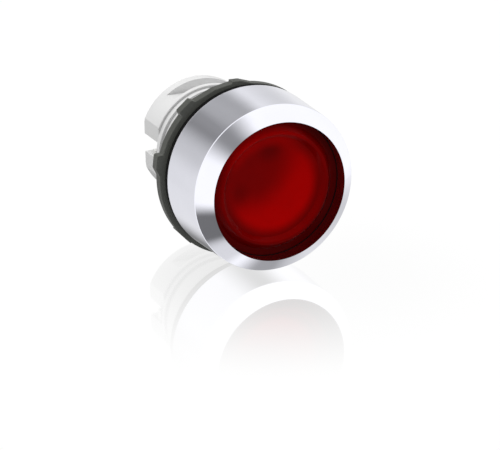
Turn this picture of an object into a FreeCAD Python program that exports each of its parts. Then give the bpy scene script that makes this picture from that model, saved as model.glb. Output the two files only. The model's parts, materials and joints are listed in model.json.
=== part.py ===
import FreeCAD, Part
import math
import os
import Sketcher

# A 22 mm panel-mounted illuminated push button operator, flush and momentary.
# Millimetres. The button's axis is Y: the button faces -Y, and the body runs back along +Y.
# The origin is on the axis, in the plane where the gasket seats on the panel. +Z is up.
# Names that end in _ahead are distances in front of the seat, and _behind are distances behind it.

DIMENSIONS = [
    ("mouth_radius", 12.1, "opening of the bezel"),
    ("mouth_ahead", 15.53, "front of the bezel"),
    ("bevel_radius", 14.6, "outer edge of the bevel"),
    ("bevel_ahead", 13.3, "outer edge of the bevel"),
    ("skirt_radius", 15.0, "rear edge of the bezel"),
    ("skirt_ahead", 3.0, "rear edge of the bezel"),
    ("skirt_bore", 13.9, "inside of the bezel"),
    ("bezel_round", 0.22, "rounding of the bezel's outer edges"),
    ("shoulder_ahead", 12.9, "inner shoulder of the bezel"),
    ("snap_ahead", 5.0, "plane of the bezel's snap ring"),
    ("snap_wire", 0.28, "radius of the snap ring's wire"),
    ("snap_groove", 0.36, "half width and depth of the grooves for the snap ring"),
    ("play", 0.05, "play between pieces that are put together and don't move"),
    ("line_seal_radius", 14.85, "outside of the seal between the bezel and the lug ring"),
    ("front_seal_bore", 12.05, "inside of the seal behind the bezel's shoulder"),
    ("front_seal_radius", 13.7, "outside of that seal"),
    ("ring_radius", 14.95, "lug ring, on the side that stays behind the bezel"),
    ("ring_lip", 15.8, "lug ring, on the side that stands out past the bezel"),
    ("lip_root", 0.3, "how far a lip or a lug is rooted in its ring"),
    ("ring_round", 0.1, "rounding of the lug ring's outer edges"),
    ("ring_bore", 10.95, "lug ring and key ring, inside"),
    ("ring_front_ahead", 1.9, "front face of the lug ring"),
    ("ring_rear_ahead", 0.25, "rear face of the lug ring, just clear of the panel"),
    ("recess_radius", 14.2, "recess in the back of the lug ring"),
    ("recess_ahead", 1.2, "floor of that recess"),
    ("gasket_radius", 14.0, "gasket and key ring, outside"),
    ("gasket_bore", 11.3, "gasket, inside"),
    ("gasket_ahead", 0.75, "front face of the gasket"),
    ("key_width", 3.0, "anti-rotation key, for the 3.2 mm notch of the panel hole"),
    ("key_height", 12.6, "top of the key above the axis"),
    ("key_behind", 1.9, "rear end of the key"),
    ("key_root", 0.2, "how far the key is rooted in its ring"),
    ("notch_play", 0.2, "play round the key in the gasket's notch"),
    ("sleeve_radius", 13.8, "guide sleeve, outside"),
    ("sleeve_bore", 12.2, "guide sleeve, inside"),
    ("sleeve_ahead", 12.25, "front end of the guide sleeve"),
    ("flange_radius", 12.85, "flange of the rear body, held in the sleeve"),
    ("flange_ahead", 4.2, "front face of that flange"),
    ("flange_rear_ahead", 1.95, "rear face of that flange"),
    ("neck_front_radius", 10.8, "neck inside the rings"),
    ("neck_radius", 11.05, "neck that locates in the 22.3 mm panel hole"),
    ("neck_start_behind", 2.2, "front end of the locating neck"),
    ("neck_end_behind", 8.2, "rear end of the locating neck"),
    ("neck_taper", 0.2, "length of the taper behind the locating neck"),
    ("front_groove_radius", 10.3, "groove behind the neck"),
    ("rib_radius", 10.85, "thin rib between the two grooves"),
    ("rib_start_behind", 10.05, "front of the rib"),
    ("rib_end_behind", 10.5, "rear of the rib"),
    ("rear_groove_radius", 10.4, "groove behind the rib"),
    ("tail_radius", 10.9, "rear part of the body"),
    ("tail_start_behind", 12.0, "front of the rear part"),
    ("tail_end_behind", 18.35, "rear end of the body"),
    ("tail_bore", 8.3, "rear bore of the body"),
    ("tail_chamfer", 0.3, "chamfer round the rear end"),
    ("body_round", 0.15, "rounding of the rear body's outer edges"),
    ("rib_round", 0.1, "rounding of the rib's edges"),
    ("window_floor", 8.8, "height of the latch windows' flat floors"),
    ("window_start_behind", 12.85, "front wall of the latch windows"),
    ("window_end_behind", 16.15, "rear wall of the latch windows"),
    ("side_flat", 9.9, "distance of the side flats from the axis"),
    ("slot_width", 3.3, "slots through the side flats"),
    ("spring_bore", 9.6, "bore of the body round the spring"),
    ("ledge_bore", 7.06, "guide bore for the plunger's stem"),
    ("ledge_start_behind", 6.0, "front face of the guide ledge"),
    ("ledge_end_behind", 9.0, "rear face of the guide ledge"),
    ("stem_radius", 7.0, "plunger stem, outside"),
    ("lamp_bore", 5.8, "plunger stem, inside, where the lamp block goes"),
    ("stem_end_behind", 14.5, "rear end of the stem"),
    ("head_radius", 11.9, "plunger head"),
    ("head_ahead", 10.15, "front face of the head, under the lens skirt"),
    ("head_skirt_ahead", 8.75, "rear edge of the head, which stops on the flange"),
    ("head_skirt_bore", 10.6, "inside of the head's skirt"),
    ("head_plate_ahead", 9.3, "rear face of the head's plate, where the spring bears"),
    ("spigot_radius", 10.3, "spigot and discs inside the lens"),
    ("spigot_ahead", 10.9, "front face of the spigot"),
    ("lens_radius", 11.85, "lens, outside"),
    ("lens_bore", 10.5, "lens, inside"),
    ("lens_skirt_ahead", 10.4, "rear edge of the lens"),
    ("lens_inner_ahead", 11.75, "inner face of the lens"),
    ("lens_shoulder_ahead", 12.7, "outer shoulder of the lens"),
    ("lens_face_ahead", 12.85, "edge of the lens's sunk face"),
    ("dish_ahead", 12.35, "middle of that face, which is dished"),
    ("lens_rim_ahead", 13.7, "top of the lens rim"),
    ("rim_foot_radius", 10.9, "outer foot of the rim"),
    ("rim_outer_radius", 9.95, "outer edge of the rim's top"),
    ("rim_inner_radius", 9.45, "inner edge of the rim's top"),
    ("face_radius", 8.8, "sunk face of the lens"),
    ("lens_round", 0.2, "rounding of the lens's outer edges"),
    ("lens_seal_bore", 10.7, "inside of the seal under the lens skirt"),
    ("lens_seal_radius", 11.7, "outside of that seal"),
    ("insert_thickness", 0.3, "blank marking insert"),
    ("diffuser_thickness", 0.4, "diffuser"),
    ("washer_radius", 9.4, "spring washer and stem seal, outside"),
    ("washer_bore", 7.3, "spring washer, inside"),
    ("washer_start_behind", 4.2, "front face of the spring washer"),
    ("washer_thickness", 0.5, "spring washer"),
    ("seal_bore", 7.05, "stem seal, inside"),
    ("seal_radius", 9.5, "stem seal, outside"),
    ("seal_play", 0.02, "play in front of and behind the stem seal"),
    ("coil_radius", 8.3, "return spring, middle of the wire"),
    ("coil_wire", 0.4, "radius of the spring's wire"),
    ("coil_turns", 6.0, "turns of the return spring"),
    ("coil_end_gap", 0.1, "gap between the coil's ends and what they bear on"),
    ("clip_radius", 8.0, "retaining clip and actuator ring, outside"),
    ("clip_groove", 6.45, "bottom of the clip's groove in the stem"),
    ("clip_start_behind", 9.1, "front face of the clip"),
    ("clip_thickness", 0.7, "clip"),
    ("actuator_start_behind", 10.0, "front face of the actuator ring"),
    ("actuator_end_behind", 13.2, "rear face of the actuator ring"),
    ("actuator_bore", 7.02, "bore of the actuator ring on the stem"),
    ("ear_reach", 10.6, "outer end of the actuator's ears, in the side slots"),
    ("ear_start_behind", 12.15, "front face of the ears"),
    ("ear_root", 0.3, "how far an ear is rooted in its ring"),
    ("ear_low", 1.5, "one edge of an ear, from the middle of its slot"),
    ("ear_high", 0.4, "other edge of an ear"),
    ("pusher_width", 4.0, "pushers that press the contact blocks"),
    ("pusher_end_behind", 15.0, "rear face of the pushers"),
]

# Angles round the lug ring are in degrees from +X towards +Z.
LIP_MIDDLE, LIP_TURN = 198.5, 151  # the side of the lug ring that stands out
LUG_CORNER = 0.35  # rounding of a lug's corners
# Each lug: where its first flank starts and ends, where its second one does, and the radius at
# each end of its tip.
LUGS = [
    (72.0, 91.5, 97.3, 98.5, 15.62, 15.80),
    (88.0, 96.0, 109.5, 111.0, 15.50, 15.66),
    (107.0, 109.5, 124.0, 126.0, 15.66, 15.92),
    (121.0, 125.5, 135.4, 137.7, 16.65, 16.70),
    (161.2, 163.7, 171.7, 187.0, 16.80, 16.60),
    (212.0, 215.5, 229.0, 232.0, 15.95, 15.95),
]

SNAP_RING_TURN = 335  # degrees of the bezel's snap ring, which is open for the rest
CLIP_MOUTH_SLOPE = math.tan(math.radians(30))  # the retaining clip is open over a sixth of its turn
PAST = 1.0  # how far cuts run past the solid

# what a sketch calls its own axes and the points of its lines and arcs
X_AXIS, Y_AXIS = -1, -2
START, END, CENTRE = 1, 2, 3
ORIGIN = (X_AXIS, START)

doc = FreeCAD.newDocument("push_button")
sheet = doc.addObject("Spreadsheet::Sheet", "Dims")


class Size:
    """A length with its value now and the sheet expression that gives it."""

    def __init__(self, value, text):
        self.value = value
        self.text = text

    def __add__(self, other):
        other = size(other)
        return Size(self.value + other.value, "(%s + %s)" % (self.text, other.text))

    def __sub__(self, other):
        other = size(other)
        return Size(self.value - other.value, "(%s - %s)" % (self.text, other.text))

    def __mul__(self, factor):
        return Size(self.value * factor, "(%s * %s)" % (self.text, factor))

    def __neg__(self):
        return Size(-self.value, "(0 - %s)" % self.text)


def size(value):
    """The same value as a Size, so that plain numbers mix with named ones."""
    return value if isinstance(value, Size) else Size(float(value), "(%s)" % value)


D = {}
for row, (alias, value, note) in enumerate(DIMENSIONS, start=1):
    sheet.set("A%d" % row, alias)
    sheet.set("B%d" % row, str(value))
    sheet.set("C%d" % row, note)
    sheet.setAlias("B%d" % row, alias)
    D[alias] = Size(value, "Dims.%s" % alias)
doc.recompute()


def d(alias):
    return D[alias]


def ahead(alias):
    """Y of a plane that lies in front of the seat."""
    return -D[alias]


# ---------- sketches and solids of revolution ----------

def new_body(label):
    body = doc.addObject("PartDesign::Body", label)
    body.Label = label
    return body


def origin_feature(body, role):
    for feature in body.Origin.OriginFeatures:
        if feature.Role == role:
            return feature
    raise ValueError("no %s in %s" % (role, body.Label))


def new_sketch(body, name, role="XY_Plane", offset=None):
    sketch = body.newObject("Sketcher::SketchObject", name)
    sketch.AttachmentSupport = [(origin_feature(body, role), "")]
    sketch.MapMode = "FlatFace"
    if offset is not None:
        sketch.setExpression("AttachmentOffset.Base.z", offset.text)
    return sketch


def bind(sketch, constraint, length):
    """Adds a distance constraint and ties it to the sheet."""
    index = sketch.addConstraint(constraint)
    sketch.setExpression("Constraints[%d]" % index, length.text)


def place_vertex(sketch, line, x, y):
    """Fixes the start of a line at sheet-driven coordinates."""
    for kind, length, axis in (("DistanceX", size(x), Y_AXIS), ("DistanceY", size(y), X_AXIS)):
        if abs(length.value) < 1e-9:
            sketch.addConstraint(Sketcher.Constraint("PointOnObject", line, START, axis))
        elif length.value > 0:
            ends = (*ORIGIN, line, START)
            bind(sketch, Sketcher.Constraint(kind, *ends, length.value), length)
        else:
            ends = (line, START, *ORIGIN)
            bind(sketch, Sketcher.Constraint(kind, *ends, -length.value), -length)


def outline(sketch, points):
    """A closed outline of straight lines through (x, y) points of named sizes."""
    corners = [FreeCAD.Vector(size(x).value, size(y).value, 0) for x, y in points]
    first = sketch.GeometryCount
    count = len(corners)
    for i in range(count):
        sketch.addGeometry(Part.LineSegment(corners[i], corners[(i + 1) % count]), False)
    for i in range(count):
        sketch.addConstraint(
            Sketcher.Constraint("Coincident", first + i, END, first + (i + 1) % count, START)
        )
    for i, (x, y) in enumerate(points):
        place_vertex(sketch, first + i, x, y)


def turned(label, points):
    """A body turned about the Y axis from a half section of (radius, y) points."""
    body = new_body(label)
    sketch = new_sketch(body, label + "_section")
    outline(sketch, points)
    turn = body.newObject("PartDesign::Revolution", label + "_turned")
    turn.Profile = sketch
    turn.ReferenceAxis = (sketch, ["V_Axis"])
    turn.Angle = 360
    doc.recompute()
    return body


def ring(label, inner, outer, front, rear):
    return turned(label, [(inner, front), (outer, front), (outer, rear), (inner, rear)])


def extruded(body, kind, name, points, role="XY_Plane", offset=None, length=None,
             midplane=False, reversed_way=False):
    """A pad or pocket of a straight-sided outline. With no length, a pocket goes through all.

    The XZ plane's normal is -Y, so there an offset is a distance in front of the seat, a pad
    grows forwards and a pocket cuts backwards.
    """
    sketch = new_sketch(body, name + "_outline", role, offset)
    outline(sketch, points)
    feature = body.newObject("PartDesign::" + kind, name)
    feature.Profile = sketch
    feature.SideType = "Symmetric" if midplane else "One side"
    feature.Reversed = reversed_way
    if length is None:
        feature.Type = "ThroughAll"
    else:
        feature.setExpression("Length", size(length).text)
    before = body.Shape.Volume
    doc.recompute()
    change = feature.Shape.Volume - before
    if (change > 0) != (kind == "Pad") or abs(change) < 1e-6:
        raise ValueError("%s changes nothing or the wrong way: %g" % (name, change))
    return feature


def repeated(body, feature, count, angle=360):
    """The feature again round the Y axis."""
    pattern = body.newObject("PartDesign::PolarPattern", feature.Name + "_round")
    pattern.Originals = [feature]
    pattern.Axis = (origin_feature(body, "Y_Axis"), [""])
    pattern.Occurrences = count
    pattern.Angle = angle
    body.Tip = pattern
    doc.recompute()
    return pattern


def circles(shape, radius, y):
    """Names of the shape's circular edges about the Y axis with this radius and place."""
    found = []
    for i, edge in enumerate(shape.Edges, start=1):
        curve = edge.Curve
        if isinstance(curve, Part.Circle) and abs(curve.Radius - radius.value) < 0.01:
            if abs(curve.Center.y - y.value) < 0.01 and abs(curve.Center.x) < 0.01:
                found.append("Edge%d" % i)
    if not found:
        raise ValueError("no circle of radius %g at %g" % (radius.value, y.value))
    return found


def fillet_edges(body, name, edges, radius):
    base = body.Tip
    fillet = body.newObject("PartDesign::Fillet", name)
    fillet.Base = (base, edges)
    fillet.setExpression("Radius", size(radius).text)
    doc.recompute()


def rounded(body, name, radius, places):
    """Fillets the circles at these (radius, y) places."""
    edges = []
    for r, y in places:
        edges += circles(body.Shape, r, y)
    fillet_edges(body, name, edges, radius)


# ---------- front: bezel, sleeve, rings and seals ----------

def groove_section(wall, depth_sign):
    """Three points that cut the snap ring's groove into a cylindrical wall, going forwards."""
    rear = ahead("snap_ahead") + d("snap_groove")
    front = ahead("snap_ahead") - d("snap_groove")
    bottom = wall + d("snap_groove") * depth_sign
    return [(wall, rear), (bottom, rear), (bottom, front), (wall, front)]


def make_bezel():
    bevel = (d("bevel_radius"), ahead("bevel_ahead"))
    mouth = (d("mouth_radius"), ahead("mouth_ahead"))
    skirt = (d("skirt_radius"), ahead("skirt_ahead"))
    body = turned("bezel", [
        mouth, bevel, skirt,
        (d("skirt_bore"), ahead("skirt_ahead")),
        *groove_section(d("skirt_bore"), 1),
        (d("skirt_bore"), ahead("shoulder_ahead")),
        (d("mouth_radius"), ahead("shoulder_ahead")),
    ])
    rounded(body, "bezel_edges", d("bezel_round"), [bevel, skirt])
    return body


def make_front_sleeve():
    seat_radius = d("flange_radius") + d("play")
    seat_front = ahead("flange_ahead") - d("play")
    return turned("front_sleeve", [
        (d("sleeve_bore"), ahead("sleeve_ahead")),
        (d("sleeve_radius"), ahead("sleeve_ahead")),
        *reversed(groove_section(d("sleeve_radius"), -1)),
        (d("sleeve_radius"), ahead("flange_rear_ahead")),
        (seat_radius, ahead("flange_rear_ahead")),
        (seat_radius, seat_front),
        (d("sleeve_bore"), seat_front),
    ])


def make_snap_ring():
    """A round wire ring with a gap, half in the bezel's groove and half in the sleeve's."""
    wire = doc.addObject("Part::Torus", "bezel_snap_ring")
    wire.setExpression("Radius1", (d("sleeve_radius") + d("skirt_bore")).text + " / 2")
    wire.setExpression("Radius2", d("snap_wire").text)
    wire.Angle3 = SNAP_RING_TURN
    wire.Placement = FreeCAD.Placement(
        FreeCAD.Vector(0, 0, 0), FreeCAD.Rotation(FreeCAD.Vector(1, 0, 0), -90)
    )
    wire.setExpression("Placement.Base.y", ahead("snap_ahead").text)
    return wire


def add_lip(body, root, front, rear):
    """The part of the lug ring's turn where it stands out past the bezel."""
    sketch = new_sketch(body, "lip_section")
    sketch.AttachmentOffset = FreeCAD.Placement(
        FreeCAD.Vector(0, 0, 0), FreeCAD.Rotation(FreeCAD.Vector(0, 1, 0), -LIP_MIDDLE)
    )
    lip = d("ring_lip")
    outline(sketch, [(root, front), (lip, front), (lip, rear), (root, rear)])
    turn = body.newObject("PartDesign::Revolution", "lip")
    turn.Profile = sketch
    turn.ReferenceAxis = (sketch, ["V_Axis"])
    turn.Midplane = True
    turn.Angle = LIP_TURN
    doc.recompute()


def polar(radius, angle):
    """Sketch coordinates of a point at an angle in degrees from +X towards +Z."""
    turn = math.radians(angle)
    return radius * math.cos(turn), radius * math.sin(turn)


def outer_edges(shape, inner, wanted):
    """Names of the edges beyond this radius for which wanted(edge) holds."""
    names = []
    for i, edge in enumerate(shape.Edges, start=1):
        near = min(math.hypot(vertex.X, vertex.Z) for vertex in edge.Vertexes)
        if near > inner and wanted(edge):
            names.append("Edge%d" % i)
    return names


def runs_along_axis(edge):
    first, last = edge.Vertexes[0].Point, edge.Vertexes[-1].Point
    return abs(first.y - last.y) > 0.5 * first.distanceToPoint(last)


def lies_across_axis(edge):
    return not runs_along_axis(edge)


def make_lug_ring():
    front, rear = ahead("ring_front_ahead"), ahead("ring_rear_ahead")
    body = turned("lug_ring", [
        (d("ring_bore"), front), (d("ring_radius"), front), (d("ring_radius"), rear),
        (d("recess_radius"), rear), (d("recess_radius"), ahead("recess_ahead")),
        (d("ring_bore"), ahead("recess_ahead")),
    ])
    foot = d("ring_radius") - d("lip_root")
    add_lip(body, foot, front, rear)
    for number, (start, tip_start, tip_end, end, first, last) in enumerate(LUGS, start=1):
        extruded(
            body, "Pad", "lug_%d" % number,
            [polar(foot, start), polar(size(first), tip_start),
             polar(size(last), tip_end), polar(foot, end)],
            role="XZ_Plane", offset=d("ring_rear_ahead"), length=rear - front,
        )
    corners = outer_edges(body.Shape, d("ring_lip").value + LUG_CORNER, runs_along_axis)
    fillet_edges(body, "lug_corners", corners, LUG_CORNER)
    rims = outer_edges(body.Shape, d("ring_radius").value - LUG_CORNER, lies_across_axis)
    fillet_edges(body, "lug_ring_edges", rims, d("ring_round"))
    return body


def make_key_ring():
    """The thin ring that carries the anti-rotation key back through the gasket."""
    body = ring(
        "anti_rotation_ring", d("ring_bore"), d("gasket_radius"),
        ahead("recess_ahead"), ahead("gasket_ahead"),
    )
    half = d("key_width") * 0.5
    extruded(
        body, "Pad", "key",
        [(-half, d("gasket_bore")), (half, d("gasket_bore")),
         (half, d("key_height")), (-half, d("key_height"))],
        role="XZ_Plane", offset=-d("key_behind"),
        length=d("key_behind") + d("gasket_ahead") + d("key_root"),
    )
    return body


def make_gasket():
    body = ring(
        "panel_gasket", d("gasket_bore"), d("gasket_radius"), ahead("gasket_ahead"), size(0),
    )
    half = d("key_width") * 0.5 + d("notch_play")
    top = d("key_height") + d("notch_play")
    foot = d("gasket_bore") - PAST
    extruded(
        body, "Pocket", "key_notch",
        [(-half, foot), (half, foot), (half, top), (-half, top)],
        role="XZ_Plane", offset=d("gasket_ahead") + PAST,
    )
    return body


# ---------- rear body ----------

def make_rear_body():
    chamfer = d("tail_chamfer")
    body = turned("rear_body", [
        (d("spring_bore"), ahead("flange_ahead")),
        (d("flange_radius"), ahead("flange_ahead")),
        (d("flange_radius"), ahead("flange_rear_ahead")),
        (d("neck_front_radius"), ahead("flange_rear_ahead")),
        (d("neck_front_radius"), d("neck_start_behind")),
        (d("neck_radius"), d("neck_start_behind")),
        (d("neck_radius"), d("neck_end_behind")),
        (d("front_groove_radius"), d("neck_end_behind") + d("neck_taper")),
        (d("front_groove_radius"), d("rib_start_behind")),
        (d("rib_radius"), d("rib_start_behind")),
        (d("rib_radius"), d("rib_end_behind")),
        (d("rear_groove_radius"), d("rib_end_behind")),
        (d("rear_groove_radius"), d("tail_start_behind")),
        (d("tail_radius"), d("tail_start_behind")),
        (d("tail_radius"), d("tail_end_behind") - chamfer),
        (d("tail_radius") - chamfer, d("tail_end_behind")),
        (d("tail_bore"), d("tail_end_behind")),
        (d("tail_bore"), d("ledge_end_behind")),
        (d("ledge_bore"), d("ledge_end_behind")),
        (d("ledge_bore"), d("ledge_start_behind")),
        (d("spring_bore"), d("ledge_start_behind")),
    ])
    rounded(body, "body_edges", d("body_round"), [
        (d("neck_radius"), d("neck_end_behind")), (d("tail_radius"), d("tail_start_behind")),
    ])
    rounded(body, "rib_edges", d("rib_round"), [
        (d("rib_radius"), d("rib_start_behind")), (d("rib_radius"), d("rib_end_behind")),
    ])
    past_end = d("tail_end_behind") + PAST
    wide = d("tail_radius") + PAST
    inside = d("tail_bore") - PAST
    window = extruded(
        body, "Pocket", "latch_window",
        [(-wide, d("window_start_behind")), (wide, d("window_start_behind")),
         (wide, d("window_end_behind")), (-wide, d("window_end_behind"))],
        offset=d("window_floor"), reversed_way=True,
    )
    repeated(body, window, 2)
    flat = extruded(
        body, "Pocket", "side_flat",
        [(d("side_flat"), d("tail_start_behind")), (wide, d("tail_start_behind")),
         (wide, past_end), (d("side_flat"), past_end)],
        length=wide * 2, midplane=True,
    )
    repeated(body, flat, 2)
    slot = extruded(
        body, "Pocket", "side_slot",
        [(inside, d("tail_start_behind")), (wide, d("tail_start_behind")),
         (wide, past_end), (inside, past_end)],
        length=d("slot_width"), midplane=True,
    )
    repeated(body, slot, 2)
    return body


# ---------- button ----------

def make_plunger():
    clip_front = d("clip_start_behind") - d("play")
    clip_rear = d("clip_start_behind") + d("clip_thickness") + d("play")
    return turned("plunger", [
        (d("lamp_bore"), ahead("spigot_ahead")),
        (d("spigot_radius"), ahead("spigot_ahead")),
        (d("spigot_radius"), ahead("head_ahead")),
        (d("head_radius"), ahead("head_ahead")),
        (d("head_radius"), ahead("head_skirt_ahead")),
        (d("head_skirt_bore"), ahead("head_skirt_ahead")),
        (d("head_skirt_bore"), ahead("head_plate_ahead")),
        (d("stem_radius"), ahead("head_plate_ahead")),
        (d("stem_radius"), clip_front),
        (d("clip_groove"), clip_front),
        (d("clip_groove"), clip_rear),
        (d("stem_radius"), clip_rear),
        (d("stem_radius"), d("stem_end_behind")),
        (d("lamp_bore"), d("stem_end_behind")),
    ])


def dish_section(body):
    """Half of the hollow in the lens's face: an arc that meets the axis squarely."""
    sketch = new_sketch(body, "lens_dish_section")
    depth = d("lens_face_ahead") - d("dish_ahead")
    edge = d("face_radius").value
    radius = (edge * edge + depth.value * depth.value) / (2 * depth.value)
    middle = FreeCAD.Vector(0, ahead("dish_ahead").value, 0)
    rim = FreeCAD.Vector(edge, ahead("lens_face_ahead").value, 0)
    corner = FreeCAD.Vector(0, ahead("lens_face_ahead").value, 0)
    centre = middle - FreeCAD.Vector(0, radius, 0)
    to_rim = math.atan2(rim.y - centre.y, rim.x)
    circle = Part.Circle(centre, FreeCAD.Vector(0, 0, 1), radius)
    top = sketch.addGeometry(Part.LineSegment(rim, corner), False)
    side = sketch.addGeometry(Part.LineSegment(corner, middle), False)
    arc = sketch.addGeometry(Part.ArcOfCircle(circle, to_rim, math.pi / 2), False)
    sketch.addConstraint(Sketcher.Constraint("Coincident", top, END, side, START))
    sketch.addConstraint(Sketcher.Constraint("Coincident", side, END, arc, END))
    sketch.addConstraint(Sketcher.Constraint("Coincident", arc, START, top, START))
    place_vertex(sketch, top, d("face_radius"), ahead("lens_face_ahead"))
    place_vertex(sketch, side, size(0), ahead("lens_face_ahead"))
    sketch.addConstraint(Sketcher.Constraint("PointOnObject", side, END, Y_AXIS))
    bind(sketch, Sketcher.Constraint("DistanceY", side, START, side, END, depth.value), depth)
    sketch.addConstraint(Sketcher.Constraint("PointOnObject", arc, CENTRE, Y_AXIS))
    return sketch


def make_lens():
    rim_outer = (d("rim_outer_radius"), ahead("lens_rim_ahead"))
    rim_inner = (d("rim_inner_radius"), ahead("lens_rim_ahead"))
    rim_foot = (d("rim_foot_radius"), ahead("lens_shoulder_ahead"))
    shoulder = (d("lens_radius"), ahead("lens_shoulder_ahead"))
    face = (d("face_radius"), ahead("lens_face_ahead"))
    body = turned("lens_cap", [
        (size(0), ahead("lens_face_ahead")), face, rim_inner, rim_outer, rim_foot, shoulder,
        (d("lens_radius"), ahead("lens_skirt_ahead")),
        (d("lens_bore"), ahead("lens_skirt_ahead")),
        (d("lens_bore"), ahead("lens_inner_ahead")),
        (size(0), ahead("lens_inner_ahead")),
    ])
    rounded(body, "lens_edges", d("lens_round"), [rim_outer, rim_inner, shoulder])
    section = dish_section(body)
    dish = body.newObject("PartDesign::Groove", "lens_dish")
    dish.Profile = section
    dish.ReferenceAxis = (section, ["V_Axis"])
    dish.Angle = 360
    doc.recompute()
    return body


def make_spring():
    """An open coil from the plunger's head to the spring washer."""
    wire = d("coil_wire")
    front = ahead("head_plate_ahead") + wire + d("coil_end_gap")
    rear = d("washer_start_behind") - wire - d("coil_end_gap")
    upright = FreeCAD.Rotation(FreeCAD.Vector(1, 0, 0), -90)
    helix = doc.addObject("Part::Helix", "spring_path")
    helix.setExpression("Height", (rear - front).text)
    helix.setExpression("Pitch", "%s / Dims.coil_turns" % (rear - front).text)
    helix.setExpression("Radius", d("coil_radius").text)
    helix.SegmentLength = 0.5
    helix.Placement = FreeCAD.Placement(FreeCAD.Vector(0, 0, 0), upright)
    helix.setExpression("Placement.Base.y", front.text)
    doc.recompute()
    section = doc.addObject("Part::Circle", "spring_wire")
    section.setExpression("Radius", wire.text)
    start = helix.Shape.Edges[0]
    tangent = start.tangentAt(start.FirstParameter)
    section.Placement = FreeCAD.Placement(
        start.valueAt(start.FirstParameter),
        FreeCAD.Rotation(FreeCAD.Vector(0, 0, 1), tangent),
    )
    sweep = doc.addObject("Part::Sweep", "return_spring")
    sweep.Sections = [section]
    edge_count = len(helix.Shape.Edges)
    sweep.Spine = (helix, ["Edge%d" % number for number in range(1, edge_count + 1)])
    sweep.Solid = True
    sweep.Frenet = True
    doc.recompute()
    return sweep


def make_clip():
    """A flat retaining clip, open below."""
    body = ring(
        "retaining_clip", d("clip_groove") + d("play"), d("clip_radius"),
        d("clip_start_behind"), d("clip_start_behind") + d("clip_thickness"),
    )
    deep = d("clip_radius") + PAST
    extruded(
        body, "Pocket", "clip_mouth",
        [(size(0), size(0)), (deep * -CLIP_MOUTH_SLOPE, -deep), (deep * CLIP_MOUTH_SLOPE, -deep)],
        role="XZ_Plane", offset=-(d("clip_start_behind") - PAST),
    )
    return body


def make_actuator_ring():
    body = ring(
        "actuator_ring", d("actuator_bore"), d("clip_radius"),
        d("actuator_start_behind"), d("actuator_end_behind"),
    )
    root = d("clip_radius") - d("ear_root")
    ear = extruded(
        body, "Pad", "ear",
        [(root, -d("ear_high")), (d("ear_reach"), -d("ear_high")),
         (d("ear_reach"), d("ear_low")), (root, d("ear_low"))],
        role="XZ_Plane", offset=-d("actuator_end_behind"),
        length=d("actuator_end_behind") - d("ear_start_behind"),
    )
    repeated(body, ear, 2)
    return body


def make_pusher(label, side):
    """A block on the back of the actuator ring, above or below the stem."""
    block = ring(
        label, d("actuator_bore"), d("clip_radius"),
        d("actuator_end_behind"), d("pusher_end_behind"),
    )
    half = d("pusher_width") * 0.5
    far = d("clip_radius") + PAST
    cut_start = -(d("actuator_end_behind") - PAST)
    for name, x_side in (("left", -1), ("right", 1)):
        extruded(
            block, "Pocket", "%s_%s_side" % (label, name),
            [(half * x_side, -far), (far * x_side, -far),
             (far * x_side, far), (half * x_side, far)],
            role="XZ_Plane", offset=cut_start,
        )
    extruded(
        block, "Pocket", label + "_other_side",
        [(-far, size(0)), (far, size(0)), (far, far * -side), (-far, far * -side)],
        role="XZ_Plane", offset=cut_start,
    )
    return block


diffuser_front = ahead("spigot_ahead") - d("play") - d("diffuser_thickness")
insert_front = diffuser_front - d("play") - d("insert_thickness")

parts = [
    make_bezel(),
    make_snap_ring(),
    ring("bezel_seal", d("skirt_bore") + d("play"), d("line_seal_radius"),
         ahead("skirt_ahead"), ahead("ring_front_ahead")),
    ring("front_seal", d("front_seal_bore"), d("front_seal_radius"),
         ahead("shoulder_ahead") + d("play"), ahead("sleeve_ahead") - d("play")),
    make_front_sleeve(),
    make_rear_body(),
    make_lug_ring(),
    make_key_ring(),
    make_gasket(),
    ring("stem_seal", d("seal_bore"), d("seal_radius"),
         d("washer_start_behind") + d("washer_thickness") + d("seal_play"),
         d("ledge_start_behind") - d("seal_play")),
    ring("spring_washer", d("washer_bore"), d("washer_radius"),
         d("washer_start_behind"), d("washer_start_behind") + d("washer_thickness")),
    make_spring(),
    make_plunger(),
    make_lens(),
    ring("lens_seal", d("lens_seal_bore"), d("lens_seal_radius"),
         ahead("lens_skirt_ahead"), ahead("head_ahead")),
    ring("marking_insert", size(0), d("spigot_radius"),
         insert_front, insert_front + d("insert_thickness")),
    ring("diffuser", size(0), d("spigot_radius"),
         diffuser_front, diffuser_front + d("diffuser_thickness")),
    make_clip(),
    make_actuator_ring(),
    make_pusher("upper_pusher", 1),
    make_pusher("lower_pusher", -1),
]

doc.recompute()
for thing in doc.Objects:
    if "Invalid" in thing.State or "Error" in thing.State:
        raise ValueError("%s did not compute: %s" % (thing.Label, thing.State))
os.makedirs("parts", exist_ok=True)
for part in parts:
    shape = part.Shape
    if shape.isNull() or not shape.isValid() or len(shape.Solids) != 1:
        raise ValueError("%s is not one valid solid" % part.Label)
    shape.exportStep("parts/%s.step" % part.Label)
    print("%-20s %9.2f mm3" % (part.Label, shape.Volume))
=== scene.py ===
import json
import math

import bmesh
import bpy
from mathutils import Euler, Matrix, Vector


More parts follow.
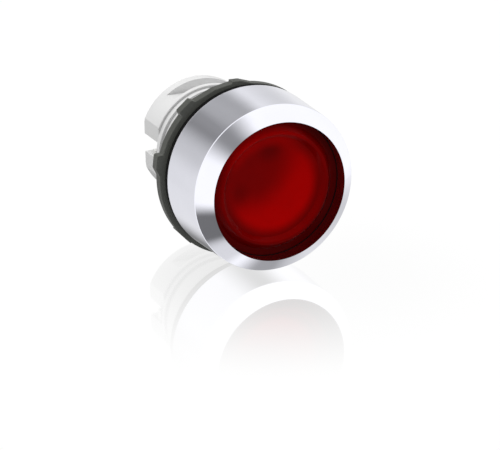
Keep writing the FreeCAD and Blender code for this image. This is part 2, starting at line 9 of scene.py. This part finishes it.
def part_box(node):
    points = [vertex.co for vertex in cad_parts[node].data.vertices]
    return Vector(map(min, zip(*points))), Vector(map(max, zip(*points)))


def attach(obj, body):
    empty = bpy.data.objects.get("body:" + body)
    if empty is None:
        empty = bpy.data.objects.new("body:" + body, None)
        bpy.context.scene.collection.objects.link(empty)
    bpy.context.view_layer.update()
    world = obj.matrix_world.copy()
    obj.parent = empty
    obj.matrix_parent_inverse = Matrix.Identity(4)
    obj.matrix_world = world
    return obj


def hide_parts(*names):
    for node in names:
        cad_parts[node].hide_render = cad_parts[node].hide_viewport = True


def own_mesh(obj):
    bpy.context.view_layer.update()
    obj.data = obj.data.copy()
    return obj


# The looks of a 22 mm illuminated push button, lying on a glossy white floor.
# Metres, in the frame of the CAD part: the button faces -Y, +Z is up, the origin is on its axis.

MM = 0.001

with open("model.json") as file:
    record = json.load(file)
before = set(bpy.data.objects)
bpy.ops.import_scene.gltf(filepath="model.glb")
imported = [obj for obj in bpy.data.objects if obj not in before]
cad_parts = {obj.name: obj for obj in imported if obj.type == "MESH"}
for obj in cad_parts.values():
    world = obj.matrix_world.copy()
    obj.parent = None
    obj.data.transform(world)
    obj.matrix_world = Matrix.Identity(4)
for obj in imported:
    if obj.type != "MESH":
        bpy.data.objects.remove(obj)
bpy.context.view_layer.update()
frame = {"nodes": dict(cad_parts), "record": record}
nodes = frame["nodes"]


def lowest(node):
    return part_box(node)[0]


# ---------- node graphs ----------

def add(tree, kind, settings=None, **inputs):
    """A shader node. Its inputs take sockets to link or values to set, by their names."""
    made = tree.nodes.new("ShaderNode" + kind)
    for name, value in (settings or {}).items():
        setattr(made, name, value)
    for name, value in inputs.items():
        feed(tree, made.inputs[name.replace("_", " ")], value)
    return made


def feed(tree, socket, value):
    if isinstance(value, bpy.types.NodeSocket):
        tree.links.new(value, socket)
    elif isinstance(value, (tuple, list)) and len(value) == 3 and socket.type == "RGBA":
        socket.default_value = (*value, 1.0)
    else:
        socket.default_value = value


def math_node(tree, operation, first, second=0.0):
    made = add(tree, "Math", {"operation": operation})
    feed(tree, made.inputs[0], first)
    feed(tree, made.inputs[1], second)
    return made.outputs[0]


def between(tree, value, start, end, low=0.0, high=1.0, smooth=True):
    """value taken from start..end to low..high, and held there outside."""
    style = "SMOOTHSTEP" if smooth else "LINEAR"
    made = add(tree, "MapRange", {"interpolation_type": style}, Value=value)
    for name, number in (("From Min", start), ("From Max", end), ("To Min", low), ("To Max", high)):
        made.inputs[name].default_value = number
    return made.outputs["Result"]


def mixed(tree, share, first, second):
    """A blend of two colours."""
    made = add(tree, "Mix", {"data_type": "RGBA"}, Factor=share)
    colours = [socket for socket in made.inputs if socket.type == "RGBA"]
    feed(tree, colours[0], first)
    feed(tree, colours[1], second)
    return next(socket for socket in made.outputs if socket.type == "RGBA")


def blend(tree, share, first, second):
    """A blend of two values. The first of the node's value inputs is the share."""
    made = add(tree, "Mix", {"data_type": "FLOAT"}, Factor=share)
    numbers = [socket for socket in made.inputs if socket.type == "VALUE"]
    feed(tree, numbers[1], first)
    feed(tree, numbers[2], second)
    return next(socket for socket in made.outputs if socket.type == "VALUE")


def grain(tree, size, detail=2.0, stretch=(1, 1, 1)):
    """Noise from 0 to 1 with features of about this size, fixed to the piece."""
    place = add(tree, "TexCoord").outputs["Object"]
    if stretch != (1, 1, 1):
        place = add(tree, "Mapping", Vector=place, Scale=stretch).outputs["Vector"]
    return add(tree, "TexNoise", Vector=place, Scale=1 / size, Detail=detail).outputs["Fac"]


def new_material(name, **surface):
    """A material with one Principled shader, and that shader. surface sets its plain values."""
    made = bpy.data.materials.new(name)
    made.use_nodes = True
    tree = made.node_tree
    tree.nodes.clear()
    shader = tree.nodes.new("ShaderNodeBsdfPrincipled")
    output = tree.nodes.new("ShaderNodeOutputMaterial")
    tree.links.new(shader.outputs["BSDF"], output.inputs["Surface"])
    for socket, value in surface.items():
        feed(tree, shader.inputs[socket.replace("_", " ")], value)
    return made, tree, shader


def add_bump(tree, shader, height, distance, strength=1.0):
    bump = add(tree, "Bump", Height=height, Distance=distance, Strength=strength)
    tree.links.new(bump.outputs["Normal"], shader.inputs["Normal"])


NOOK_REACH = 2.5 * MM  # how far round it a place looks for walls that make it a nook
NOOK_SHADE = 0.45  # how dark the painted shade in the nooks is, of the plastic's own colour
NOOK_DEEP, NOOK_OPEN = 0.2, 0.9  # how open a place is where the painted shade is darkest, and where it ends
CLOUD_SIZE = 4 * MM
GLOSS_CHANGE = 0.06  # how much the mould texture changes the roughness, up and down


def moulded(name, colour, roughness, texture, depth, dirt=0.12, painted_nook_shade=False, **surface):
    """Moulded plastic or rubber: a fine mould texture, and a little unevenness in colour and gloss.

    One with painted nook shade is darker in its nooks: painted shade, from how closed in each place is."""
    made, tree, shader = new_material(name, **surface)
    cloud = between(tree, grain(tree, CLOUD_SIZE, 4), 0.35, 0.7)
    fine = grain(tree, texture, 3)
    darker = tuple(channel * (1 - dirt) for channel in colour)
    plain = mixed(tree, cloud, colour, darker)
    # painted shade: darker where walls close a place in, as ambient occlusion finds it
    if painted_nook_shade:
        nooks = add(tree, "AmbientOcclusion", {"samples": 8}, Distance=NOOK_REACH).outputs["AO"]
        painted_shade_colour = tuple(channel * NOOK_SHADE for channel in colour)
        plain = mixed(tree, between(tree, nooks, NOOK_DEEP, NOOK_OPEN), painted_shade_colour, plain)
    feed(tree, shader.inputs["Base Color"], plain)
    smooth, rough = roughness - GLOSS_CHANGE, roughness + GLOSS_CHANGE
    gloss = math_node(tree, "ADD", between(tree, fine, 0.3, 0.7, smooth, rough),
                      between(tree, cloud, 0, 1, 0, 0.05))
    feed(tree, shader.inputs["Roughness"], gloss)
    add_bump(tree, shader, fine, depth)
    return made


CHROME, DIM_CHROME = (0.905, 0.91, 0.985), (0.88, 0.885, 0.96)
STEEL, DARK_STEEL = (0.62, 0.61, 0.60), (0.46, 0.46, 0.47)


def chrome():
    """Bright plate with a trace of orange peel and fine handling marks."""
    made, tree, shader = new_material("bright_chrome", Metallic=1.0)
    cloud = between(tree, grain(tree, 7 * MM, 3), 0.3, 0.7)
    feed(tree, shader.inputs["Base Color"], mixed(tree, cloud, CHROME, DIM_CHROME))
    marks = grain(tree, 1.2 * MM, 5, (1, 0.08, 1))
    gloss = math_node(tree, "ADD", between(tree, marks, 0.55, 0.75, 0.07, 0.12),
                      between(tree, cloud, 0, 1, 0, 0.02))
    feed(tree, shader.inputs["Roughness"], gloss)
    add_bump(tree, shader, grain(tree, 2.5 * MM, 1), 0.002 * MM)
    return made


def steel():
    """Drawn spring steel with fine streaks."""
    made, tree, shader = new_material("spring_steel", Metallic=1.0)
    streaks = grain(tree, 0.4 * MM, 4, (1, 4, 1))
    feed(tree, shader.inputs["Base Color"], mixed(tree, streaks, STEEL, DARK_STEEL))
    feed(tree, shader.inputs["Roughness"], between(tree, streaks, 0.3, 0.7, 0.25, 0.42))
    add_bump(tree, shader, streaks, 0.004 * MM)
    return made


# Radii of the lens's painted light and shade: where its face starts to dim towards the rim and has done
# so, and where the rim starts to dim outwards and has done so.
FACE_PAINTED_LIGHT_END, LENS_FACE, LENS_RIM, LENS_FOOT = 6.6 * MM, 8.8 * MM, 9.5 * MM, 11.6 * MM
# Painted shade on the lens's face, standing in for less of the reflector's light coming through: the
# middle of each patch, the turn about +Y from +X to its long way, and its reach along and across that
# way.
SHADE = (Vector((-2.9 * MM, 0, 3.4 * MM)), math.radians(-41), 5.0 * MM, 3.8 * MM)
LEFT_SPOT = (Vector((-6.4 * MM, 0, -0.6 * MM)), 0, 2.6 * MM, 2.6 * MM)
TOP_SPOT = (Vector((-0.3 * MM, 0, 6.6 * MM)), 0, 2.6 * MM, 2.6 * MM)
# where the painted shade and the painted dark spots are darkest and where they have gone, in shares of
# their reach
SHADE_INSIDE, SHADE_OUTSIDE = 0.75, 2.1
SPOT_INSIDE, SPOT_OUTSIDE = 0.1, 1.2
DARK_LEVEL, BRIGHT_LEVEL = 0.24, 0.46  # how bright the red is in the painted shade and in the painted light outside it
RIM_LEVEL, RIM_GLINT, FOOT_LEVEL = 0.17, 0.2, 0.072  # the rim's painted dark side, the painted highlight its top adds, the painted shade at the foot
SPOT_LEVEL = 0.7  # share of the painted light that the middle of a painted dark spot lets through
RIM_LIGHT = Vector((-0.26, 0, 0.97))  # the side on which the rim's painted light is brightest
RED, BLACK = (1.0, 0.0, 0.0), (0.0, 0.0, 0.0)
LENS_SHINE = 0.06  # specular level of the lens


def patch_distance(tree, place, patch):
    """How far a place is from a patch's middle, 1 at its edge."""
    middle, turn, length, width = patch
    local = add(tree, "Mapping", {"vector_type": "TEXTURE"}, Vector=place,
                Location=middle, Rotation=Euler((0, turn, 0)), Scale=(length, width, width))
    distance = add(tree, "VectorMath", {"operation": "LENGTH"})
    tree.links.new(local.outputs["Vector"], distance.inputs[0])
    return distance.outputs["Value"]


def rim_level(tree, place, radius):
    """The lens's rim, with painted light: bright at the top with a painted highlight, darker at the
    bottom.
    """
    along = add(tree, "VectorMath", {"operation": "DOT_PRODUCT"})
    feed(tree, along.inputs[0], place)
    feed(tree, along.inputs[1], RIM_LIGHT)
    side = math_node(tree, "DIVIDE", along.outputs["Value"], radius)
    return math_node(tree, "ADD", between(tree, side, -0.4, 0.3, RIM_LEVEL, DARK_LEVEL),
                     between(tree, side, 0.5, 1.0, 0.0, RIM_GLINT))


def red_lens():
    """Deep red translucent plastic whose colour holds painted light and shade: brighter where the white
    reflector behind it shows through, darker in painted patches, at the rim's lower side and at its
    foot.
    """
    made, tree, shader = new_material("red_lens", IOR=1.49, Specular_Tint=(1.0, 0.15, 0.15))
    shader.inputs["Specular IOR Level"].default_value = LENS_SHINE
    flat = add(tree, "VectorMath", {"operation": "MULTIPLY"})
    feed(tree, flat.inputs[0], add(tree, "TexCoord").outputs["Object"])
    flat.inputs[1].default_value = (1, 0, 1)
    place = flat.outputs[0]
    away = add(tree, "VectorMath", {"operation": "LENGTH"})
    tree.links.new(place, away.inputs[0])
    radius = away.outputs["Value"]
    # painted light and shade on the face: bright outside the patches, darker in them
    level = between(tree, patch_distance(tree, place, SHADE), SHADE_INSIDE, SHADE_OUTSIDE,
                    DARK_LEVEL, BRIGHT_LEVEL)
    for spot in (LEFT_SPOT, TOP_SPOT):
        left_over = between(tree, patch_distance(tree, place, spot), SPOT_INSIDE, SPOT_OUTSIDE,
                            SPOT_LEVEL, 1.0)
        level = math_node(tree, "MULTIPLY", level, left_over)
    # painted light: the face dims into the rim's painted light, then into painted shade at the foot
    rim_share = between(tree, radius, FACE_PAINTED_LIGHT_END, LENS_FACE)
    level = blend(tree, rim_share, level, rim_level(tree, place, radius))
    level = blend(tree, between(tree, radius, LENS_RIM, LENS_FOOT), level, FOOT_LEVEL)
    cloud = between(tree, grain(tree, 5 * MM, 3), 0.3, 0.7, 0.95, 1.05)
    level = math_node(tree, "MULTIPLY", level, cloud)
    feed(tree, shader.inputs["Base Color"], mixed(tree, level, BLACK, RED))
    feed(tree, shader.inputs["Roughness"], between(tree, cloud, 0.95, 1.05, 0.1, 0.16))
    add_bump(tree, shader, grain(tree, 3 * MM, 1), 0.003 * MM)
    return made


# The moulded ones: colour, roughness, size and depth of the texture, and unevenness of the colour.
materials = {
    "bright_chrome": chrome(),
    "spring_steel": steel(),
    "red_lens": red_lens(),
    "dark_grey_plastic": moulded("dark_grey_plastic", (0.058, 0.061, 0.052), 0.5, 0.12 * MM, 0.02 * MM),
    "light_grey_plastic": moulded("light_grey_plastic", (0.76, 0.76, 0.76), 0.42,
                                  0.2 * MM, 0.006 * MM, 0.05, painted_nook_shade=True),
    "white_plastic": moulded("white_plastic", (0.84, 0.84, 0.82), 0.4, 0.2 * MM, 0.006 * MM, 0.05),
    "black_plastic": moulded("black_plastic", (0.03, 0.03, 0.032), 0.4, 0.2 * MM, 0.008 * MM),
    "black_rubber": moulded("black_rubber", (0.008, 0.008, 0.008), 0.8, 0.1 * MM, 0.01 * MM, 0.2,
                            painted_nook_shade=True, Specular_IOR_Level=0.06),
    "opal_plastic": moulded("opal_plastic", (0.86, 0.86, 0.84), 0.3, 0.3 * MM, 0.004 * MM, 0.04),
    "clear_film": moulded("clear_film", (0.9, 0.9, 0.9), 0.25, 0.4 * MM, 0.003 * MM, 0.03),
}
for part in frame["record"]["subparts"]:
    piece = nodes[part["node"]]
    piece.data.materials.clear()
    piece.data.materials.append(materials[part["material_slot"]])
    if part["node"] in ("lug_ring", "bezel_seal"):
        piece.visible_glossy = False  # the chrome mirrors the studio's walls in their place

# ---------- the return spring, on the operator -------------------------------

WIRE_RADIUS = 0.4 * MM
COIL_TURNS = 6
WIRE_SIDES = 12
STEPS_PER_TURN = 48


def make_spring():
    """A round wire wound into an open coil that fills the CAD spring's box."""
    low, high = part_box("return_spring")
    coil_radius = high.x - WIRE_RADIUS
    front, rear = low.y + WIRE_RADIUS, high.y - WIRE_RADIUS
    mesh = bmesh.new()
    rings = []
    steps = COIL_TURNS * STEPS_PER_TURN
    for step in range(steps + 1):
        turn = 2 * math.pi * step / STEPS_PER_TURN
        out = Vector((math.cos(turn), 0, -math.sin(turn)))
        centre = out * coil_radius + Vector((0, front + (rear - front) * step / steps, 0))
        loop = []
        for side in range(WIRE_SIDES):
            angle = 2 * math.pi * side / WIRE_SIDES
            offset = out * math.cos(angle) + Vector((0, math.sin(angle), 0))
            loop.append(mesh.verts.new(centre + offset * WIRE_RADIUS))
        rings.append(loop)
    for near, far in zip(rings, rings[1:]):
        for side in range(WIRE_SIDES):
            after = (side + 1) % WIRE_SIDES
            mesh.faces.new((near[side], near[after], far[after], far[side]))
    mesh.faces.new(rings[0][::-1])
    mesh.faces.new(rings[-1])
    bmesh.ops.recalc_face_normals(mesh, faces=mesh.faces)
    data = bpy.data.meshes.new("coil")
    mesh.to_mesh(data)
    mesh.free()
    data.shade_smooth()
    data.materials.append(materials["spring_steel"])
    coil = bpy.data.objects.new("coil", data)
    bpy.context.scene.collection.objects.link(coil)
    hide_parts("return_spring")
    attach(coil, "operator")
    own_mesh(coil)
    return coil


make_spring()


# ---------- the lens, turned finer than the CAD part's mesh ----------

LENS_SIDES = 256
CORNER_STEPS = 5
SHARPEST_SMOOTH = math.radians(28)  # edges with a larger angle look sharp
# Half section of the lens in mm, as radius, distance in front of the panel and rounding, from the
# rear of the inner face round the outside to the edge of the sunk face. The outside is wider than
# the CAD part's, so that the gap round it hardly shows.
LENS_SECTION = [
    (0.0, 11.75, 0), (10.5, 11.75, 0), (10.5, 10.4, 0), (12.07, 10.4, 0), (12.07, 12.7, 0.03),
    (10.9, 12.7, 0), (9.95, 13.7, 0.2), (9.45, 13.7, 0.2), (8.8, 12.85, 0),
]
DISH_DEPTH = 0.5 * MM  # of the sunk face
DISH_STEPS = 12
ON_AXIS = 1e-9  # radius below which a point of the section is on the axis


def rounded_corner(before, corner, after, radius):
    """Points along the arc that rounds a corner of a section."""
    if radius == 0:
        return [corner]
    back, forth = (before - corner).normalized(), (after - corner).normalized()
    half = back.angle(forth) / 2
    centre = corner + (back + forth).normalized() * radius / math.sin(half)
    first = corner + back * radius / math.tan(half) - centre
    last = corner + forth * radius / math.tan(half) - centre
    return [centre + first.slerp(last, step / CORNER_STEPS) * radius for step in range(CORNER_STEPS + 1)]


def lens_section():
    """The lens's half section as points, with the sunk face's dish."""
    places = [Vector((radius, -ahead)) * MM for radius, ahead, _ in LENS_SECTION]
    points = [places[0]]
    for i in range(1, len(places) - 1):
        points += rounded_corner(places[i - 1], places[i], places[i + 1], LENS_SECTION[i][2] * MM)
    edge = places[-1]
    for step in range(DISH_STEPS + 1):
        share = 1 - step / DISH_STEPS
        points.append(Vector((edge.x * share, edge.y + DISH_DEPTH * (1 - share * share))))
    return points


def make_lens():
    """The section turned round the axis. A point on the axis is a single vertex."""
    mesh = bmesh.new()
    loops = []
    for point in lens_section():
        if point.x < ON_AXIS:
            loops.append([mesh.verts.new((0, point.y, 0))])
            continue
        turns = [2 * math.pi * side / LENS_SIDES for side in range(LENS_SIDES)]
        loops.append([mesh.verts.new((point.x * math.cos(turn), point.y, point.x * math.sin(turn)))
                      for turn in turns])
    for near, far in zip(loops, loops[1:]):
        for side in range(LENS_SIDES):
            after = (side + 1) % LENS_SIDES
            corners = [near[side % len(near)], near[after % len(near)],
                       far[after % len(far)], far[side % len(far)]]
            mesh.faces.new(list(dict.fromkeys(corners)))
    bmesh.ops.recalc_face_normals(mesh, faces=mesh.faces)
    data = bpy.data.meshes.new("lens")
    mesh.to_mesh(data)
    mesh.free()
    data.shade_smooth()
    data.set_sharp_from_angle(angle=SHARPEST_SMOOTH)
    data.materials.append(materials["red_lens"])
    lens = bpy.data.objects.new("lens", data)
    bpy.context.scene.collection.objects.link(lens)
    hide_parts("lens_cap")
    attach(lens, "button")
    return lens


make_lens()

# ---------- studio ----------

WHITE = 1.08  # brightness of the studio's walls in the chrome
# Soft light on the plastic pieces: how bright it is from above and below, and how much of it is
# left in front. It changes between these heights and these depths of its direction.
FROM_ABOVE, FROM_BELOW, IN_FRONT = 0.95, 0.42, 0.62
HEIGHTS, DEPTHS = (-0.6, 0.7), (-0.8, 0.2)
# Grey flags in front of the walls, as the chrome sees them: the direction of each (azimuth from
# the front, towards +X, and elevation), its half width and half height in degrees, how soft its
# edge is, and how much light it holds back.
FLAGS = [
    # on the bezel's side: the dark band at the upper left in two parts, its soft lower end, faint
    # wide ones at the top right and the lower left, and the dark lower edge
    (-158, 30, 10, 15, 0.7, 0.7),
    (178, 40, 15, 12, 0.5, 0.6),
    (-150, 10, 15, 16, 0.9, 0.45),
    (150, 10, 25, 40, 0.4, 0.2),
    (-160, -30, 30, 25, 0.4, 0.25),
    (160, -34, 13, 13, 0.9, 0.85),
    # on its bevel: upper left, lower left and its soft lower end, bottom, and lower right in two
    (-30, 40, 20, 15, 0.75, 0.74),
    (-60, -45, 15, 18, 0.4, 0.84),
    (-62, -75, 12, 11, 0.5, 0.3),
    (120, -68, 20, 14, 0.7, 0.65),
    (125, -40, 25, 15, 0.4, 0.28),
    (118, -28, 9, 10, 0.8, 0.2),
    # only on the side as seen from behind and from the right
    (-35, -10, 10, 20, 0.7, 0.4),
    (-3, 44, 12, 9, 0.6, 0.55),
    (135, 20, 15, 15, 0.75, 0.35),
]
FLAG_THICKNESS = 0.5  # along its direction, so that only the walls on its side are shaded


def direction(azimuth, elevation):
    """A unit vector, from degrees: azimuth 0 is the front, -Y, and 90 is +X."""
    a, e = math.radians(azimuth), math.radians(elevation)
    return Vector((math.sin(a) * math.cos(e), -math.cos(a) * math.cos(e), math.sin(e)))


def flag_light(tree, towards, azimuth, elevation, half_width, half_height, softness, held_back):
    """How much of the light is left: 1 outside the flag."""
    centre = direction(azimuth, elevation)
    across = Vector((math.cos(math.radians(azimuth)), math.sin(math.radians(azimuth)), 0))
    upwards = centre.cross(across)
    turn = Matrix((across, upwards, centre)).transposed().to_euler()
    spread = (math.sin(math.radians(half_width)), math.sin(math.radians(half_height)), FLAG_THICKNESS)
    local = add(tree, "Mapping", {"vector_type": "TEXTURE"}, Vector=towards,
                Location=centre, Rotation=turn, Scale=spread)
    distance = add(tree, "VectorMath", {"operation": "LENGTH"})
    tree.links.new(local.outputs["Vector"], distance.inputs[0])
    return between(tree, distance.outputs["Value"], 1 - softness, 1 + softness, 1 - held_back, 1)


def make_world():
    """White to the camera, walls with flags for gloss, and soft light from above for the rest."""
    world = bpy.data.worlds.new("studio")
    bpy.context.scene.world = world
    world.use_nodes = True
    tree = world.node_tree
    tree.nodes.clear()
    towards = add(tree, "TexCoord").outputs["Generated"]
    light = WHITE
    for flag in FLAGS:
        light = math_node(tree, "MULTIPLY", flag_light(tree, towards, *flag), light)
    parts = add(tree, "SeparateXYZ", Vector=towards).outputs
    by_height = between(tree, parts["Z"], *HEIGHTS, FROM_BELOW, FROM_ABOVE)
    by_depth = between(tree, parts["Y"], *DEPTHS, IN_FRONT, 1.0)
    rays = add(tree, "LightPath")
    soft = add(tree, "Background", Strength=math_node(tree, "MULTIPLY", by_height, by_depth))
    walls = add(tree, "Background", Strength=light)
    backdrop = add(tree, "Background", Strength=1.0)
    for background in (soft, walls, backdrop):
        background.inputs["Color"].default_value = (1, 1, 1, 1)
    plain_or_gloss = add(tree, "MixShader", Fac=rays.outputs["Is Glossy Ray"])
    tree.links.new(soft.outputs[0], plain_or_gloss.inputs[1])
    tree.links.new(walls.outputs[0], plain_or_gloss.inputs[2])
    seen = add(tree, "MixShader", Fac=rays.outputs["Is Camera Ray"])
    tree.links.new(plain_or_gloss.outputs[0], seen.inputs[1])
    tree.links.new(backdrop.outputs[0], seen.inputs[2])
    output = add(tree, "OutputWorld")
    tree.links.new(seen.outputs[0], output.inputs["Surface"])


FLOOR_WIDTH = 6
FLOOR_GAP = 0.01 * MM  # below the object's lowest point
FLOOR_WHITE = 1.01
GLAZE_MIDDLE = Vector((1 * MM, -14 * MM, 0))
GLAZE_REACH = 44 * MM  # how far round its middle the floor's reflection fades out
GLAZE_SHARE = 0.42  # of the floor's look that is reflection, near the object
GLAZE_ROUGHNESS = 0.05
WALL_IN_FLOOR = 0.82  # how bright the walls look in the glaze


def make_floor():
    """A lit white floor whose reflection of the object fades as it leaves the object."""
    height = lowest("lug_ring").z - FLOOR_GAP
    bpy.ops.mesh.primitive_plane_add(size=FLOOR_WIDTH, location=(0, 0, height))
    floor = bpy.context.object
    floor.name = "floor"
    floor.visible_glossy = False
    floor.visible_diffuse = False
    made, tree, shader = new_material("white_floor", Roughness=1.0)
    feed(tree, shader.inputs["Base Color"], (0, 0, 0))
    shader.inputs["Specular IOR Level"].default_value = 0.0
    feed(tree, shader.inputs["Emission Color"], (1, 1, 1))
    away = add(tree, "VectorMath", {"operation": "DISTANCE"})
    feed(tree, away.inputs[0], add(tree, "TexCoord").outputs["Object"])
    feed(tree, away.inputs[1], GLAZE_MIDDLE)
    share = between(tree, away.outputs["Value"], 0, GLAZE_REACH, GLAZE_SHARE, 0.0)
    rest = math_node(tree, "SUBTRACT", 1.0, share)
    lost = math_node(tree, "SUBTRACT", FLOOR_WHITE, math_node(tree, "MULTIPLY", share, WALL_IN_FLOOR))
    feed(tree, shader.inputs["Emission Strength"], math_node(tree, "DIVIDE", lost, rest))
    glaze = add(tree, "BsdfGlossy", Color=(1, 1, 1), Roughness=GLAZE_ROUGHNESS)
    surface = add(tree, "MixShader", Fac=share)
    tree.links.new(shader.outputs[0], surface.inputs[1])
    tree.links.new(glaze.outputs[0], surface.inputs[2])
    tree.links.new(surface.outputs[0], tree.nodes["Material Output"].inputs["Surface"])
    floor.data.materials.append(made)


def make_softbox(name, azimuth, elevation, distance, width, power):
    """A square lamp that faces the origin and isn't mirrored in anything."""
    light = bpy.data.lights.new(name, "AREA")
    light.size = width
    light.energy = power
    lamp = bpy.data.objects.new(name, light)
    towards = direction(azimuth, elevation)
    lamp.location = towards * distance
    lamp.rotation_euler = towards.to_track_quat("Z", "Y").to_euler()
    lamp.visible_glossy = False
    bpy.context.scene.collection.objects.link(lamp)


# ---------- camera ----------

CAMERA_AZIMUTH, CAMERA_ELEVATION = -25.44, 21.41
CAMERA_ROLL = 0.83
CAMERA_DISTANCE = 356.95 * MM
CAMERA_TARGET = Vector((0, -13.33 * MM, 0))
# how far to the right of the line through its target the camera stands, and how far above
CAMERA_RIGHT, CAMERA_UP = -4.07 * MM, -6.14 * MM
CAMERA_LENS, SENSOR_WIDTH = 154.2, 36  # mm
NEAREST_SEEN, FARTHEST_SEEN = 0.01, 20


def make_camera():
    data = bpy.data.cameras.new("camera")
    data.sensor_width = SENSOR_WIDTH
    data.lens = CAMERA_LENS
    data.clip_start, data.clip_end = NEAREST_SEEN, FARTHEST_SEEN
    camera = bpy.data.objects.new("camera", data)
    back = direction(CAMERA_AZIMUTH, CAMERA_ELEVATION)
    turn = back.to_track_quat("Z", "Y") @ Euler((0, 0, math.radians(-CAMERA_ROLL))).to_quaternion()
    camera.rotation_mode = "QUATERNION"
    camera.rotation_quaternion = turn
    camera.location = (CAMERA_TARGET + back * CAMERA_DISTANCE
                       + turn @ Vector((CAMERA_RIGHT, CAMERA_UP, 0)))
    bpy.context.scene.collection.objects.link(camera)
    bpy.context.scene.camera = camera


make_world()
make_floor()
make_softbox("top_softbox", azimuth=-40, elevation=60, distance=0.5, width=0.35, power=1.2)
make_camera()
bpy.context.scene.view_settings.view_transform = "Standard"
